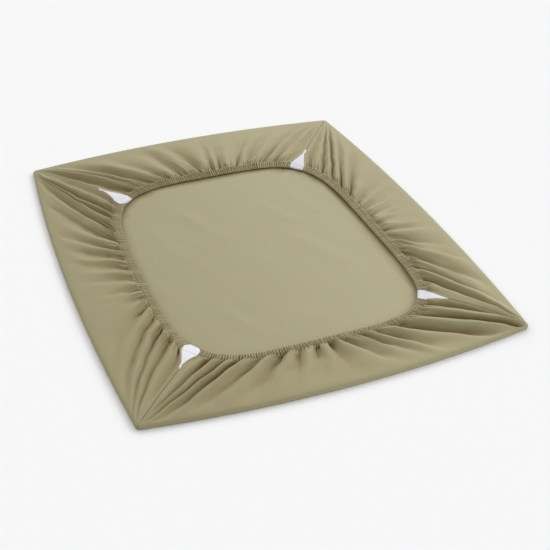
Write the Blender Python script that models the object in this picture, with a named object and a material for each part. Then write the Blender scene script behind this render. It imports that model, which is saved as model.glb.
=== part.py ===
"""A double-bed fitted sheet, laid inside out on a flat surface.

The base panel lies flat. The side cloth turns up and back over it at the outline, rises towards the
mouth in folds that fan out of the four corners, and ends in an elastic hem round the mouth. A white
stretch gusset fills the end of each corner seam. All sizes are in metres: +X runs along the front
edge, +Y away from it, and the sheet rests on z = 0 with its box centred on the origin.
"""

import bpy
import numpy as np

MILLIMETRE = 0.001

# The base panel, which is the mattress size that the sheet is cut for, and how its fold lines bow out.
PANEL_WIDTH = 1.60
PANEL_LENGTH = 2.00
END_BOW = 0.060
SIDE_BOW = 0.043
CORNER_RADIUS = 0.030

# The cloth, and the soft fold where the side cloth turns back over the base panel.
CLOTH_THICKNESS = 0.002
FOLD_RADIUS = 0.004
FOLD_ANGLES = (30, -30, -90)
SHARP_ANGLE = 50

# The mouth: the free edge of the hem is a squared oval, with a squareness of its own in each quarter.
# The hem stands up at the front and droops at the back.
MOUTH_HALF_WIDTH = 0.536
MOUTH_HALF_LENGTH = 0.704
MOUTH_CENTRE = (0.002, -0.073)
MOUTH_SQUARENESS = {(1, -1): 5.0, (1, 1): 4.2, (-1, 1): 3.8, (-1, -1): 4.3}
HEM_WIDTH = 0.034
HEM_THICKNESS = 0.005
HEM_SEAM_THICKNESS = 0.004
HEM_EDGE_HEIGHT = 0.017
HEM_TILT = (0.002, -0.005)
HEM_ROWS = 1

# The side cloth, from the hem's seam at share 0 of the way to the outline at share 1: the rows of
# points across it, and the height of its middle surface where it has no fold.
SHARE_ROWS = (0.0, 0.10, 0.28, 0.50, 0.75, 1.0)
PLAIN_SHARES = (0.0, 0.10, 0.25, 0.50, 0.75, 1.0)
PLAIN_HEIGHTS = (0.0200, 0.0210, 0.0190, 0.0155, 0.0120, 0.0090)
LOWEST_HEIGHT = 0.0090
NEAR_SHARE = 0.10
HALF_WAY = 0.45
HEM_FOLD_SHARE = 0.25
WIDE_STEP = 0.033

# The gussets: the row of the side cloth where each ends, how much of the last row it fills, and the
# slit that parts it from the cloth on either side.
TIP_ROW = 2
TIP_FILL = 0.86
GUSSET_SLIT = 0.0008
GUSSET_COLUMNS = 6
SEAM_PULL_WIDTH = 0.10

# Ridges and troughs of the side cloth, counter-clockwise round each side. Each line runs from the hem
# to the outline: its places there (x on the front and back, y on the right and left, in metres), its
# heights near the hem and half way along (in millimetres), and the share of the way that it reaches.
FRONT_LINES = (
    # hem, edge, near, half, reach
    (-0.438, -0.795, 31, 24, 1.00),
    (-0.422, -0.790, 10, 12, 0.80),
    (-0.404, -0.782, 35, 27, 1.00),
    (-0.382, -0.768, 9, 9, 1.00),
    (-0.360, -0.735, 33, 24, 1.00),
    (-0.338, -0.690, 10, 14, 0.70),
    (-0.308, -0.620, 33, 24, 0.95),
    (-0.262, -0.555, 9, 10, 0.90),
    (-0.222, -0.460, 33, 22, 0.85),
    (-0.178, -0.370, 9, 11, 0.80),
    (-0.140, -0.235, 32, 21, 0.90),
    (-0.100, -0.165, 11, 13, 0.60),
    (-0.070, -0.105, 30, 20, 0.90),
    (-0.035, -0.050, 12, 13, 0.60),
    (-0.005, 0.010, 30, 19, 0.80),
    (0.014, 0.060, 12, 12, 0.70),
    (0.034, 0.190, 33, 26, 1.00),
    (0.060, 0.255, 11, 10, 0.95),
    (0.105, 0.330, 31, 22, 0.90),
    (0.138, 0.360, 14, 14, 0.50),
    (0.165, 0.400, 37, 27, 1.00),
    (0.195, 0.470, 9, 9, 0.95),
    (0.237, 0.600, 37, 28, 1.00),
    (0.285, 0.680, 9, 9, 1.00),
    (0.352, 0.765, 38, 32, 1.00),
    (0.386, 0.782, 9, 9, 1.00),
    (0.425, 0.790, 37, 31, 1.00),
    (0.456, 0.796, 11, 10, 0.95),
)
RIGHT_LINES = (
    (-0.592, -0.990, 36, 31, 1.00),
    (-0.545, -0.980, 9, 9, 1.00),
    (-0.505, -0.950, 37, 31, 1.00),
    (-0.460, -0.880, 10, 11, 0.70),
    (-0.420, -0.815, 35, 26, 0.90),
    (-0.345, -0.700, 10, 10, 0.90),
    (-0.295, -0.580, 35, 26, 1.00),
    (-0.268, -0.510, 14, 15, 0.45),
    (-0.248, -0.455, 30, 20, 0.60),
    (-0.222, -0.400, 10, 10, 0.90),
    (-0.188, -0.260, 32, 24, 1.00),
    (-0.165, -0.180, 13, 13, 0.60),
    (-0.135, -0.110, 29, 20, 0.80),
    (-0.085, -0.040, 15, 14, 0.45),
    (-0.055, 0.010, 29, 20, 0.70),
    (-0.015, 0.060, 15, 14, 0.50),
    (0.015, 0.110, 29, 20, 0.80),
    (0.045, 0.180, 15, 14, 0.60),
    (0.075, 0.250, 29, 21, 0.90),
    (0.112, 0.350, 12, 13, 0.90),
    (0.148, 0.520, 31, 22, 0.95),
    (0.185, 0.690, 10, 11, 0.95),
    (0.225, 0.800, 32, 24, 1.00),
    (0.268, 0.880, 10, 12, 1.00),
    (0.310, 0.930, 32, 26, 1.00),
    (0.355, 0.962, 9, 9, 1.00),
    (0.392, 0.978, 32, 25, 1.00),
    (0.430, 0.986, 11, 12, 0.90),
    (0.465, 0.991, 32, 24, 1.00),
    (0.500, 0.996, 11, 12, 0.90),
)
BACK_LINES = (
    (0.398, 0.796, 13, 14, 0.80),
    (0.372, 0.788, 30, 22, 1.00),
    (0.342, 0.770, 12, 14, 0.85),
    (0.315, 0.742, 30, 22, 1.00),
    (0.285, 0.700, 11, 11, 0.95),
    (0.250, 0.620, 30, 22, 0.95),
    (0.208, 0.500, 12, 13, 0.85),
    (0.186, 0.440, 29, 21, 0.90),
    (0.164, 0.380, 12, 14, 0.70),
    (0.122, 0.250, 30, 21, 0.80),
    (0.076, 0.160, 11, 13, 0.70),
    (0.058, 0.125, 29, 20, 0.75),
    (0.038, 0.090, 13, 13, 0.70),
    (0.008, 0.030, 32, 24, 0.95),
    (-0.020, -0.110, 10, 9, 0.95),
    (-0.046, -0.210, 35, 27, 1.00),
    (-0.118, -0.250, 10, 9, 0.95),
    (-0.160, -0.350, 32, 22, 0.85),
    (-0.190, -0.470, 10, 14, 0.60),
    (-0.224, -0.600, 35, 27, 1.00),
    (-0.270, -0.700, 9, 9, 1.00),
    (-0.312, -0.752, 31, 22, 0.95),
    (-0.328, -0.765, 16, 16, 0.45),
    (-0.345, -0.780, 33, 27, 1.00),
    (-0.374, -0.791, 9, 10, 1.00),
)
LEFT_LINES = (
    (0.500, 0.996, 12, 13, 0.70),
    (0.468, 0.991, 33, 26, 1.00),
    (0.435, 0.984, 9, 9, 1.00),
    (0.400, 0.974, 36, 30, 1.00),
    (0.374, 0.965, 12, 16, 0.45),
    (0.342, 0.952, 32, 25, 0.95),
    (0.282, 0.915, 9, 10, 1.00),
    (0.235, 0.840, 35, 26, 1.00),
    (0.176, 0.650, 10, 12, 0.85),
    (0.146, 0.520, 31, 22, 0.85),
    (0.112, 0.420, 12, 13, 0.75),
    (0.080, 0.330, 31, 24, 0.95),
    (0.046, 0.250, 12, 13, 0.75),
    (0.008, 0.160, 30, 21, 0.90),
    (-0.030, 0.130, 11, 11, 0.85),
    (-0.075, 0.010, 31, 21, 0.80),
    (-0.113, -0.060, 12, 13, 0.65),
    (-0.160, -0.150, 29, 19, 0.60),
    (-0.192, -0.210, 13, 14, 0.50),
    (-0.230, -0.280, 29, 19, 0.60),
    (-0.255, -0.340, 15, 15, 0.35),
    (-0.285, -0.480, 29, 20, 0.80),
    (-0.322, -0.620, 12, 13, 0.85),
    (-0.365, -0.820, 30, 21, 0.95),
    (-0.425, -0.945, 12, 12, 0.95),
    (-0.475, -0.968, 32, 24, 1.00),
    (-0.525, -0.980, 11, 11, 1.00),
    (-0.568, -0.987, 31, 24, 1.00),
    (-0.603, -0.993, 12, 14, 0.75),
)

# Each side: the way that it runs, the way that it faces, its half length, its distance from the
# middle, its bow, how far its lines bend outwards, and its lines.
SIDES = {
    "front": ((1, 0), (0, -1), PANEL_WIDTH / 2, PANEL_LENGTH / 2, END_BOW, 0.004, FRONT_LINES),
    "right": ((0, 1), (1, 0), PANEL_LENGTH / 2, PANEL_WIDTH / 2, SIDE_BOW, 0.006, RIGHT_LINES),
    "back": ((-1, 0), (0, 1), PANEL_WIDTH / 2, PANEL_LENGTH / 2, END_BOW, 0.026, BACK_LINES),
    "left": ((0, -1), (-1, 0), PANEL_LENGTH / 2, PANEL_WIDTH / 2, SIDE_BOW, 0.026, LEFT_LINES),
}

# Each corner lies at the end of one side and the start of the next: where the hem's cloth stops on
# each (x on the front and back, y on the right and left), the two ends of the gusset's head and its tip
# in plan, how fast the gusset tapers, and the corner seam's heights in millimetres near the hem and
# half way along.
CORNERS = {
    "front_right": (
        *("front", "right", 0.475, -0.627),
        *((0.475, -0.675), (0.506, -0.628), (0.575, -0.740), 1.0, 24, 26),
    ),
    "back_right": (
        *("right", "back", 0.523, 0.419),
        *((0.464, 0.523), (0.419, 0.576), (0.553, 0.688), 1.6, 24, 20),
    ),
    "back_left": (
        *("back", "left", -0.411, 0.523),
        *((-0.411, 0.552), (-0.475, 0.523), (-0.540, 0.676), 1.6, 25, 21),
    ),
    "front_left": (
        *("left", "front", -0.624, -0.464),
        *((-0.508, -0.624), (-0.464, -0.680), (-0.571, -0.760), 1.6, 23, 19),
    ),
}

CLOTH_COLOUR = (0.402, 0.367, 0.226, 1.0)
GUSSET_COLOUR = (0.78, 0.78, 0.80, 1.0)


def outline(side, place):
    """The fold line's plan point and outward direction at a place along a side, its corners rounded."""
    run, face, half_length, distance, bow = (np.array(v, float) for v in SIDES[side][:5])
    flat_length = half_length - CORNER_RADIUS
    along = min(abs(place), flat_length)
    end_angle = np.arctan(2 * bow / flat_length)
    if abs(place) <= flat_length:
        angle = np.arctan(2 * bow * along / flat_length**2)
    else:
        turned = (abs(place) - flat_length) / CORNER_RADIUS
        angle = end_angle + turned * (np.pi / 4 - end_angle)
    core = face * (distance - CORNER_RADIUS + bow * (1 - (along / flat_length) ** 2))
    core = core + run * along * np.sign(place)
    outward = face * np.cos(angle) + run * np.sin(angle) * np.sign(place)
    return core + CORNER_RADIUS * outward, outward


def mouth(side, place, grown):
    """The squared oval of the mouth, grown outwards, at a place along a side: plan point and normal."""
    run, face = (np.array(v, float) for v in SIDES[side][:2])
    centre = np.array(MOUTH_CENTRE)
    halves = np.array([MOUTH_HALF_WIDTH, MOUTH_HALF_LENGTH])
    along_half = abs(halves @ run)
    out_half = abs(halves @ face)
    along = place - centre @ run
    way = 1 if along >= 0 else -1
    squareness = MOUTH_SQUARENESS[tuple(int(v) for v in face + run * way)]
    share = abs(along) / along_half
    out = out_half * (1 - share**squareness) ** (1 / squareness)
    slope = np.array([share, out / out_half]) ** (squareness - 1)
    normal = run * way * slope[0] / along_half + face * slope[1] / out_half
    normal /= np.linalg.norm(normal)
    return centre + run * along + face * out + grown * normal, normal


def fold_height(line, share):
    """The height of the cloth's middle surface along a ridge or trough, at a share of the way out."""
    near, half, reach = line[2] * MILLIMETRE, line[3] * MILLIMETRE, line[4]
    middle = NEAR_SHARE + (reach - NEAR_SHARE) * HALF_WAY
    plain = np.interp((share, NEAR_SHARE, middle), PLAIN_SHARES, PLAIN_HEIGHTS)
    shares = (0.0, NEAR_SHARE, middle, reach)
    extra = (HEM_FOLD_SHARE * (near - plain[1]), near - plain[1], half - plain[2], 0.0)
    return max(plain[0] + np.interp(share, shares, extra), LOWEST_HEIGHT)


def between(start, end, share):
    """A value part of the way from start to end on a smooth S-curve."""
    return start + (end - start) * (1 - np.cos(np.pi * share)) / 2


def corner_before(side):
    """The corner at the start of a side."""
    return next(name for name, row in CORNERS.items() if row[1] == side)


def corner_after(side):
    """The corner at the end of a side."""
    return next(name for name, row in CORNERS.items() if row[0] == side)


def side_columns(side):
    """The columns of points along a side, as (hem place, edge place, line before, line after, share)."""
    run, _, half_length, _, _, _, rows = SIDES[side]
    way = sum(run)
    first, last = CORNERS[corner_before(side)], CORNERS[corner_after(side)]
    lines = [(way * hem, way * edge, *rest) for hem, edge, *rest in rows]
    lines.insert(0, (way * first[3], -half_length, *first[8:], 1.0))
    lines.append((way * last[2], half_length, *last[8:], 1.0))
    columns = []
    for line, following in zip(lines, lines[1:]):
        steps = 3 if following[0] - line[0] > WIDE_STEP else 2
        for step in range(steps):
            share = step / steps
            hem = line[0] + (following[0] - line[0]) * share
            edge = line[1] + (following[1] - line[1]) * share
            columns.append((hem, edge, line, following, share))
    columns.append((*lines[-1][:2], lines[-2], lines[-1], 1.0))
    return columns


def bent(start, end, push, share):
    """A point on the bent line from start to end."""
    return start + (end - start) * share + push * 4 * share * (1 - share)


def seam_point(corner, head_index, end, share):
    """A plan point beside the cloth's end: along the hem, down the gusset to its tip, and to the corner.

    The share is -1 at the hem's free edge, and runs from 0 at the hem's seam to 1 at the outline.
    """
    heads, tip, taper = np.array(CORNERS[corner][4:6]), np.array(CORNERS[corner][6]), CORNERS[corner][7]
    middle = heads.mean(axis=0)
    half_head = np.array(CORNERS[corner][head_index]) - middle
    start = middle + (tip - middle) * HEM_WIDTH / np.linalg.norm(tip - middle)
    tip_share = SHARE_ROWS[TIP_ROW]
    if share < 0:
        return middle + half_head
    if share > tip_share:
        return tip + (end - tip) * (share - tip_share) / (1 - tip_share)
    part = share / tip_share
    return start + (tip - start) * part + half_head * (1 - part) ** taper


def plan_point(side, hem, edge, share):
    """A plan point on the bent line from hem to outline, drawn to the gussets and seams at the corners."""
    push = np.array(SIDES[side][1]) * SIDES[side][5]
    half_length = SIDES[side][2]
    way = sum(SIDES[side][0])

    def undrawn(hem_place, edge_place):
        if share < 0:
            return mouth(side, hem_place, 0.0)[0]
        return bent(mouth(side, hem_place, HEM_WIDTH)[0], outline(side, edge_place)[0], push, share)

    drawn = undrawn(hem, edge)
    ends = (
        (corner_before(side), 5, way * CORNERS[corner_before(side)][3], -half_length),
        (corner_after(side), 4, way * CORNERS[corner_after(side)][2], half_length),
    )
    for corner, head_index, lip_place, corner_place in ends:
        nearness = max(0.0, 1 - abs(hem - lip_place) / SEAM_PULL_WIDTH) ** 2
        seam = seam_point(corner, head_index, outline(side, corner_place)[0], share)
        drawn = drawn + nearness * (seam - undrawn(lip_place, corner_place))
    return drawn


def side_grid(side):
    """Rows of points of a side from the hem's edge to the base panel, with directions and thicknesses."""
    up = np.array([0.0, 0.0, 1.0])
    rows = []
    for hem, edge, line, following, share in side_columns(side):
        column = []

        def add(plan, height, direction, thickness=CLOTH_THICKNESS):
            column.append((*plan, height, *direction, thickness))

        def cloth_height(at):
            return between(fold_height(line, at), fold_height(following, at), share)

        edge_height = HEM_EDGE_HEIGHT + mouth(side, hem, 0.0)[1] @ HEM_TILT
        add(plan_point(side, hem, edge, -1), edge_height, up, HEM_THICKNESS)
        for at in SHARE_ROWS:
            thickness = HEM_SEAM_THICKNESS if at == 0 else CLOTH_THICKNESS
            add(plan_point(side, hem, edge, at), cloth_height(at), up, thickness)
        fold_line, outward = outline(side, edge)
        outward = np.append(outward, 0.0)
        middle = np.array([*fold_line, CLOTH_THICKNESS / 2 + FOLD_RADIUS])
        for angle in np.radians(FOLD_ANGLES):
            direction = outward * np.cos(angle) + up * np.sin(angle)
            point = middle + FOLD_RADIUS * direction
            add(point[:2], point[2], direction)
        rows.append(column)
    return np.array(rows).transpose(1, 0, 2)


def grid_faces(first, rows, columns):
    """Four-sided faces of a grid whose points are numbered row by row."""
    return [
        (a, a + columns, a + columns + 1, a + 1)
        for r in range(rows - 1)
        for a in range(first + r * columns, first + (r + 1) * columns - 1)
    ]


def welded(points, faces):
    """The same surface with points at one place made one."""
    keys = np.round(points[:, :3], 6)
    _, kept, index = np.unique(keys, axis=0, return_index=True, return_inverse=True)
    index = index.reshape(-1)
    return points[kept], [tuple(int(index[i]) for i in face) for face in faces]


def free_edges(faces):
    """The edges that only one face uses, each in the direction that its face has it."""
    edges = [(a, b) for face in faces for a, b in zip(face, (*face[1:], face[0]))]
    used = set(edges)
    return [(a, b) for a, b in edges if (b, a) not in used]


def solid(name, origin, points, faces, material):
    """A closed solid: the surface thickened to both sides along each point's direction."""
    offset = points[:, 3:6] * points[:, 6:7] / 2
    corners = np.concatenate([points[:, :3] + offset, points[:, :3] - offset])
    count = len(points)
    inner = [tuple(i + count for i in reversed(face)) for face in faces]
    rims = [(b, a, a + count, b + count) for a, b in free_edges(faces)]
    mesh = bpy.data.meshes.new(name)
    mesh.from_pydata((corners - origin).tolist(), [], faces + inner + rims)
    mesh.validate()
    mesh.shade_smooth()
    mesh.set_sharp_from_angle(angle=np.radians(SHARP_ANGLE))
    mesh.materials.append(material)
    made = bpy.data.objects.new(name, mesh)
    made.location = origin
    bpy.context.scene.collection.objects.link(made)
    return made


def fabric(name, colour, roughness):
    """A plain cloth material."""
    material = bpy.data.materials.new(name)
    material.use_nodes = True
    shader = material.node_tree.nodes["Principled BSDF"]
    shader.inputs["Base Color"].default_value = colour
    shader.inputs["Roughness"].default_value = roughness
    shader.inputs["Metallic"].default_value = 0.0
    return material


def make_sheet(grids, material):
    """The cloth: four side grids that meet at the corner seams, and the base panel as one flat face."""
    points, faces, rim = [], [], []
    first = 0
    for grid in grids.values():
        rows, columns = grid.shape[:2]
        points.append(grid.reshape(-1, grid.shape[2]))
        faces += grid_faces(first, rows, columns)
        rim += range(first + (rows - 1) * columns, first + rows * columns - 1)
        first += rows * columns
    faces.append(tuple(reversed(rim)))
    points, faces = welded(np.concatenate(points), faces)
    return solid("sheet", (0.0, 0.0, 0.0), points, faces, material)


def make_gusset(corner, grids, material):
    """A white stretch gusset between the lips that the cloth leaves at the end of a corner seam."""
    before, after = CORNERS[corner][:2]
    left, right = grids[before][:, -1], grids[after][:, 0]
    last = HEM_ROWS + TIP_ROW
    lips = [(left[r], right[r]) for r in range(last)]
    tips = [lip[last - 1] + (lip[last] - lip[last - 1]) * TIP_FILL for lip in (left, right)]
    lips.append(tuple(tips))
    rows = []
    for one, other in lips:
        slit = GUSSET_SLIT / np.linalg.norm(other[:2] - one[:2])
        shares = np.linspace(slit, 1 - slit, GUSSET_COLUMNS + 1)
        rows.append([one + (other - one) * share for share in shares])
    points = np.array(rows)
    faces = grid_faces(0, points.shape[0], points.shape[1])
    tip = (*CORNERS[corner][6], 0.0)
    return solid("gusset_" + corner, tip, points.reshape(-1, points.shape[2]), faces, material)


def main():
    for leftover in list(bpy.data.objects):
        bpy.data.objects.remove(leftover)
    cloth = fabric("sage_cotton", CLOTH_COLOUR, 0.85)
    stretch = fabric("white_stretch", GUSSET_COLOUR, 0.80)
    grids = {side: side_grid(side) for side in SIDES}
    make_sheet(grids, cloth)
    for corner in CORNERS:
        make_gusset(corner, grids, stretch)


main()
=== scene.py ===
"""The looks of a double-bed fitted sheet that lies inside out on a flat surface.

The cloth is one surface: the base panel, the soft fold at the outline, the side cloth in its folds and
the gathered hem. Four white stretch gussets fill the ends of the corner seams. Sizes are in metres.
"""

from typing import NamedTuple

import bpy
import numpy as np
from bpy.props import FloatProperty, FloatVectorProperty, PointerProperty
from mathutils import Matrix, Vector


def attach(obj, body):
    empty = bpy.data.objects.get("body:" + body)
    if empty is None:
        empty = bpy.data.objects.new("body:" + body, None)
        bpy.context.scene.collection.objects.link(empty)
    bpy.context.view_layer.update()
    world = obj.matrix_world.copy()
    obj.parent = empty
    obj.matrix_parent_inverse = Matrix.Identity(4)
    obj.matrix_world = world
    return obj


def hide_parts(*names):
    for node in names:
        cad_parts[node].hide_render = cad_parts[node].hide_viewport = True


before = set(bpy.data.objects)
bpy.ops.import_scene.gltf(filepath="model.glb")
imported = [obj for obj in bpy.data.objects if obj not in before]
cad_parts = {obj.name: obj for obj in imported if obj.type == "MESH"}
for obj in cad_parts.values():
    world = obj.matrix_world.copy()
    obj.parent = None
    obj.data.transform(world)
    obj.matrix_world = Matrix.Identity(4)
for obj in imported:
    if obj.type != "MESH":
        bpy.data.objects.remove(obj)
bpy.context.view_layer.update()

bl_info = {
    "name": "Fitted Sheet",
    "version": (1, 0, 0),
    "blender": (4, 5, 0),
    "location": "3D View > Sidebar > Fitted Sheet",
    "description": "Builds the cloth, gussets and stage of a fitted sheet",
    "category": "Add Mesh",
}

MM = 0.001
SEED = 7

# The base panel, which is the mattress that the sheet is cut for, and its fold lines. They bow out as in
# the solids, with sharper corners.
PANEL_WIDTH = 1.60
PANEL_LENGTH = 2.00
END_BOW = 0.060
SIDE_BOW = 0.043
CORNER_RADIUS = 0.018

# The soft fold at the outline, from the side cloth down to the base panel, and how near a corner its
# puckers end.
FOLD_HEIGHT = 0.0160
FOLD_END = 0.02
FOLD_PROFILE = (
    # out from the outline, height
    (0.0018, 0.0136),
    (0.0028, 0.0108),
    (0.0031, 0.0078),
    (0.0027, 0.0045),
    (0.0018, 0.0018),
    (-0.0015, 0.0008),
)

# The base panel's relief: its height at the fold, how far it rises from there, the least that is left of
# this beside a crease, the share of the panel over which it rises, and how many times its soft creases'
# heights are used.
PANEL_HEIGHT = 0.0008
PANEL_RISE = 0.0034
PANEL_LEAST_RISE = 0.0002
PANEL_EDGE = 0.08
PANEL_CREASE_SHARE = 2.4

# The mouth, as in the solids: half width and length, centre, and the squareness of each quarter.
MOUTH_HALVES = (0.536, 0.704)
MOUTH_CENTRE = (0.002, -0.073)
MOUTH_SQUARENESS = {(1, -1): 5.0, (1, 1): 4.2, (-1, 1): 3.8, (-1, -1): 4.3}
MOUTH_SIDE_END = 0.9999

# The hem: its width, its free edge and how that leans, the roll round it, the puff on both sides of its
# middle stitches and the dent that they make, how near a side's end its ruffles stop, and its rows of
# points as shares of its width, with the one at which a gusset's head is measured.
HEM_WIDTH = 0.034
HEM_EDGE_HEIGHT = 0.0155
HEM_TILT = (0.0, -0.003)
HEM_PUFF = 0.0010
HEM_ROLL = 0.0028
HEM_OVERHANG = 0.0012
HEM_MIDDLE = 0.50
HEM_DENT = 0.07
HEM_END = 0.006
HEM_UNDER_SHARES = (0.34, 0.07)
HEM_TOP_SHARES = (0.03, 0.16, 0.32, 0.46, 0.56, 0.72, 0.88)
HEAD_ROW = len(HEM_UNDER_SHARES) + 1

# The cloth's heights where it has no fold, from the hem's seam at share 0 to the outline at share 1, the
# heights that the tables of lines are measured against, and the limits that all heights are bent to.
PLAIN_SHARES = (0.0, 0.10, 0.25, 0.50, 0.75, 0.90, 0.95, 0.975, 0.99, 1.0)
PLAIN_HEIGHTS = (0.0205, 0.0245, 0.0262, 0.0257, 0.0243, 0.0224, 0.0208, 0.0195, 0.0181, 0.0160)
TABLE_SHARES = (0.0, 0.10, 0.25, 0.50, 0.75, 1.0)
TABLE_HEIGHTS = (0.0200, 0.0210, 0.0190, 0.0155, 0.0120, 0.0090)
LOWEST_HEIGHT = 0.0050
SOFT_FLOOR = 0.003
SOFT_CEILING = 0.041
CEILING_SPAN = 0.006

# The main folds. They have a part of their height at the hem's seam and all of it from the near share on.
# The tables' near heights hold at the full share, and their half heights a good part of the way on to each
# fold's reach. From the held share to the outline they all fade. Their valleys are sharper than their
# crests, and the sides that face the steep way are narrower.
HEM_FOLD_SHARE = 0.34
NEAR_SHARE = 0.045
FULL_SHARE = 0.11
HALF_WAY = 0.45
HELD_SHARE = 0.90
VALLEY_SHARPNESS = 0.65
STEEP_WAY = (0.25, 0.97)
STEEP_SHARE = 0.25

# Smooth unevenness, as (size, wavelength, seed): of the side cloth's heights, of the way that its folds
# run, of the hem's free edge, of the fold at the outline, and of the base panel. Each is the mean of a few
# crossing waves, whose lengths are spread and whose sum is raised to about the size that is stated.
SKIRT_WAVES = ((0.0011, 0.11, SEED + 3), (0.00045, 0.035, SEED + 4))
WANDER_WAVES = ((0.0050, 0.12, SEED + 5), (0.0050, 0.12, SEED + 6))
HEM_WAVE = (0.0012, 0.16, SEED + 8)
FOLD_WAVE = (0.0012, 0.05, SEED + 9)
PANEL_WAVES = ((0.0006, 0.22, SEED + 11), (0.00022, 0.05, SEED + 12))
WANDER_SPAN = 0.2
WANDER_END = 0.05
CROSSING_WAVES = 9
WAVE_SPREAD = (0.7, 1.6)
WAVE_GAIN = 1.6

# The corner seams: how near a side's end its cloth is drawn to them, the groove along each, its dark line
# of seam and painted crease shade, the stitches beside it, and the cloth's lip beside the gusset, whose tip
# is at the tip share.
SEAM_PULL_WIDTH = 0.10
SEAM_GROOVE = 0.0045
SEAM_GROOVE_WIDTH = 0.0035
SEAM_CREASE = 0.0016
SEAM_STITCH = 0.0045
GUSSET_LIP = 0.0009
TIP_SHARE = 0.28

# The gussets: their rows and columns of points, how far their sides are tucked under the cloth and lie
# below it, how their heads are tucked and lifted, their crown, which is full where they are wide, their
# gathers, how much of its length times its width each one fills, and what its seams take.
GUSSET_SHARES = (*(0.02 * step for step in range(14)), 0.275, 0.29)
GUSSET_COLUMNS = 40
GUSSET_TUCK = 0.004
GUSSET_DROP = 0.0014
HEAD_TUCK = 0.0015
HEAD_LIFT = 0.0011
GUSSET_CROWN = 0.0012
GUSSET_FULLNESS = 0.6
GUSSET_WIDE = 0.06
GUSSET_GATHERS = 5
GUSSET_GATHER_HEIGHT = 0.0007
GUSSET_GATHER_REACH = 0.06
GUSSET_GATHER_SHIFT = 2.0
GUSSET_GATHER_TURN = 5.0
GUSSET_AREA_SHARE = 0.62
SEAM_ALLOWANCE = 0.007

# Rows of points across the side cloth, fine near the hem and coarser towards the outline, and the steps
# between the columns that are used near the hem, in the middle, at the outline and in the base panel. The
# hem is measured at many places, and points that agree to a few decimals are made one.
FINE_ROWS = (0.0, 0.010, 0.021, 0.033, 0.046, 0.062, 0.080, 0.10)
MIDDLE_ROWS = (0.122, 0.146, 0.172, 0.20, 0.24, 0.28, 0.32, 0.36, 0.40, 0.44, 0.48, 0.52, 0.56)
OUTER_ROWS = (0.61, 0.66, 0.71, 0.76, 0.81, 0.86, 0.91, 0.95, 0.975, 0.99, 1.0)
COLUMN_STEPS = (1, 2, 4, 8)
HEM_PLACES = 4001
POINT_DECIMALS = 5

# Ridges and troughs of the side cloth, counter-clockwise round each side: places at the hem and the
# outline (x on the front and back, y on the right and left, in metres), heights near the hem and half
# way along (in millimetres), and the share of the way that each reaches.
FRONT_LINES = (
    # hem, edge, near, half, reach
    (-0.438, -0.797, 31, 24, 1.00),
    (-0.422, -0.794, 10, 12, 0.80),
    (-0.404, -0.790, 33, 25, 1.05),
    (-0.382, -0.782, 9, 9, 1.15),
    (-0.360, -0.768, 31, 23, 1.10),
    (-0.336, -0.745, 8, 6, 1.20),
    (-0.306, -0.690, 32, 24, 1.05),
    (-0.262, -0.625, 8, 8, 1.00),
    (-0.222, -0.530, 33, 23, 0.95),
    (-0.178, -0.430, 8, 8, 0.95),
    (-0.140, -0.330, 32, 21, 0.90),
    (-0.100, -0.235, 11, 12, 0.70),
    (-0.070, -0.190, 30, 20, 0.90),
    (-0.035, -0.140, 9, 10, 0.90),
    (-0.005, -0.050, 30, 19, 0.85),
    (0.014, 0.040, 12, 12, 0.70),
    (0.034, 0.190, 33, 26, 1.00),
    (0.060, 0.255, 11, 10, 0.95),
    (0.105, 0.330, 31, 22, 0.90),
    (0.138, 0.360, 14, 14, 0.50),
    (0.165, 0.400, 37, 27, 1.00),
    (0.195, 0.470, 8, 7, 1.00),
    (0.237, 0.600, 34, 23, 1.00),
    (0.288, 0.680, 3, -2, 1.20),
    (0.352, 0.750, 38, 31, 1.15),
    (0.390, 0.780, 0, -12, 1.40),
    (0.425, 0.792, 41, 42, 1.25),
    (0.454, 0.796, 2, -4, 1.20),
)
RIGHT_LINES = (
    # hem, edge, near, half, reach
    (-0.592, -0.990, 36, 31, 1.15),
    (-0.545, -0.980, 8, 5, 1.20),
    (-0.505, -0.950, 38, 32, 1.10),
    (-0.460, -0.880, 13, 13, 0.70),
    (-0.420, -0.815, 35, 26, 0.90),
    (-0.345, -0.700, 9, 8, 1.05),
    (-0.295, -0.580, 36, 28, 1.05),
    (-0.268, -0.510, 14, 15, 0.45),
    (-0.248, -0.455, 30, 20, 0.60),
    (-0.222, -0.400, 10, 10, 0.90),
    (-0.188, -0.260, 32, 24, 1.00),
    (-0.165, -0.180, 13, 13, 0.60),
    (-0.135, -0.110, 29, 20, 0.80),
    (-0.085, -0.040, 15, 14, 0.45),
    (-0.055, 0.010, 29, 20, 0.70),
    (-0.015, 0.060, 15, 14, 0.50),
    (0.015, 0.110, 29, 20, 0.80),
    (0.045, 0.180, 15, 14, 0.60),
    (0.075, 0.250, 29, 21, 0.90),
    (0.112, 0.350, 12, 13, 0.90),
    (0.148, 0.520, 31, 22, 0.95),
    (0.185, 0.690, 10, 11, 0.95),
    (0.225, 0.800, 32, 24, 1.00),
    (0.268, 0.880, 10, 12, 1.00),
    (0.310, 0.930, 32, 26, 1.00),
    (0.355, 0.962, 8, 7, 1.05),
    (0.392, 0.978, 33, 27, 1.05),
    (0.430, 0.986, 11, 12, 0.90),
    (0.465, 0.991, 32, 24, 1.00),
    (0.500, 0.996, 11, 12, 0.90),
)
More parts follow.
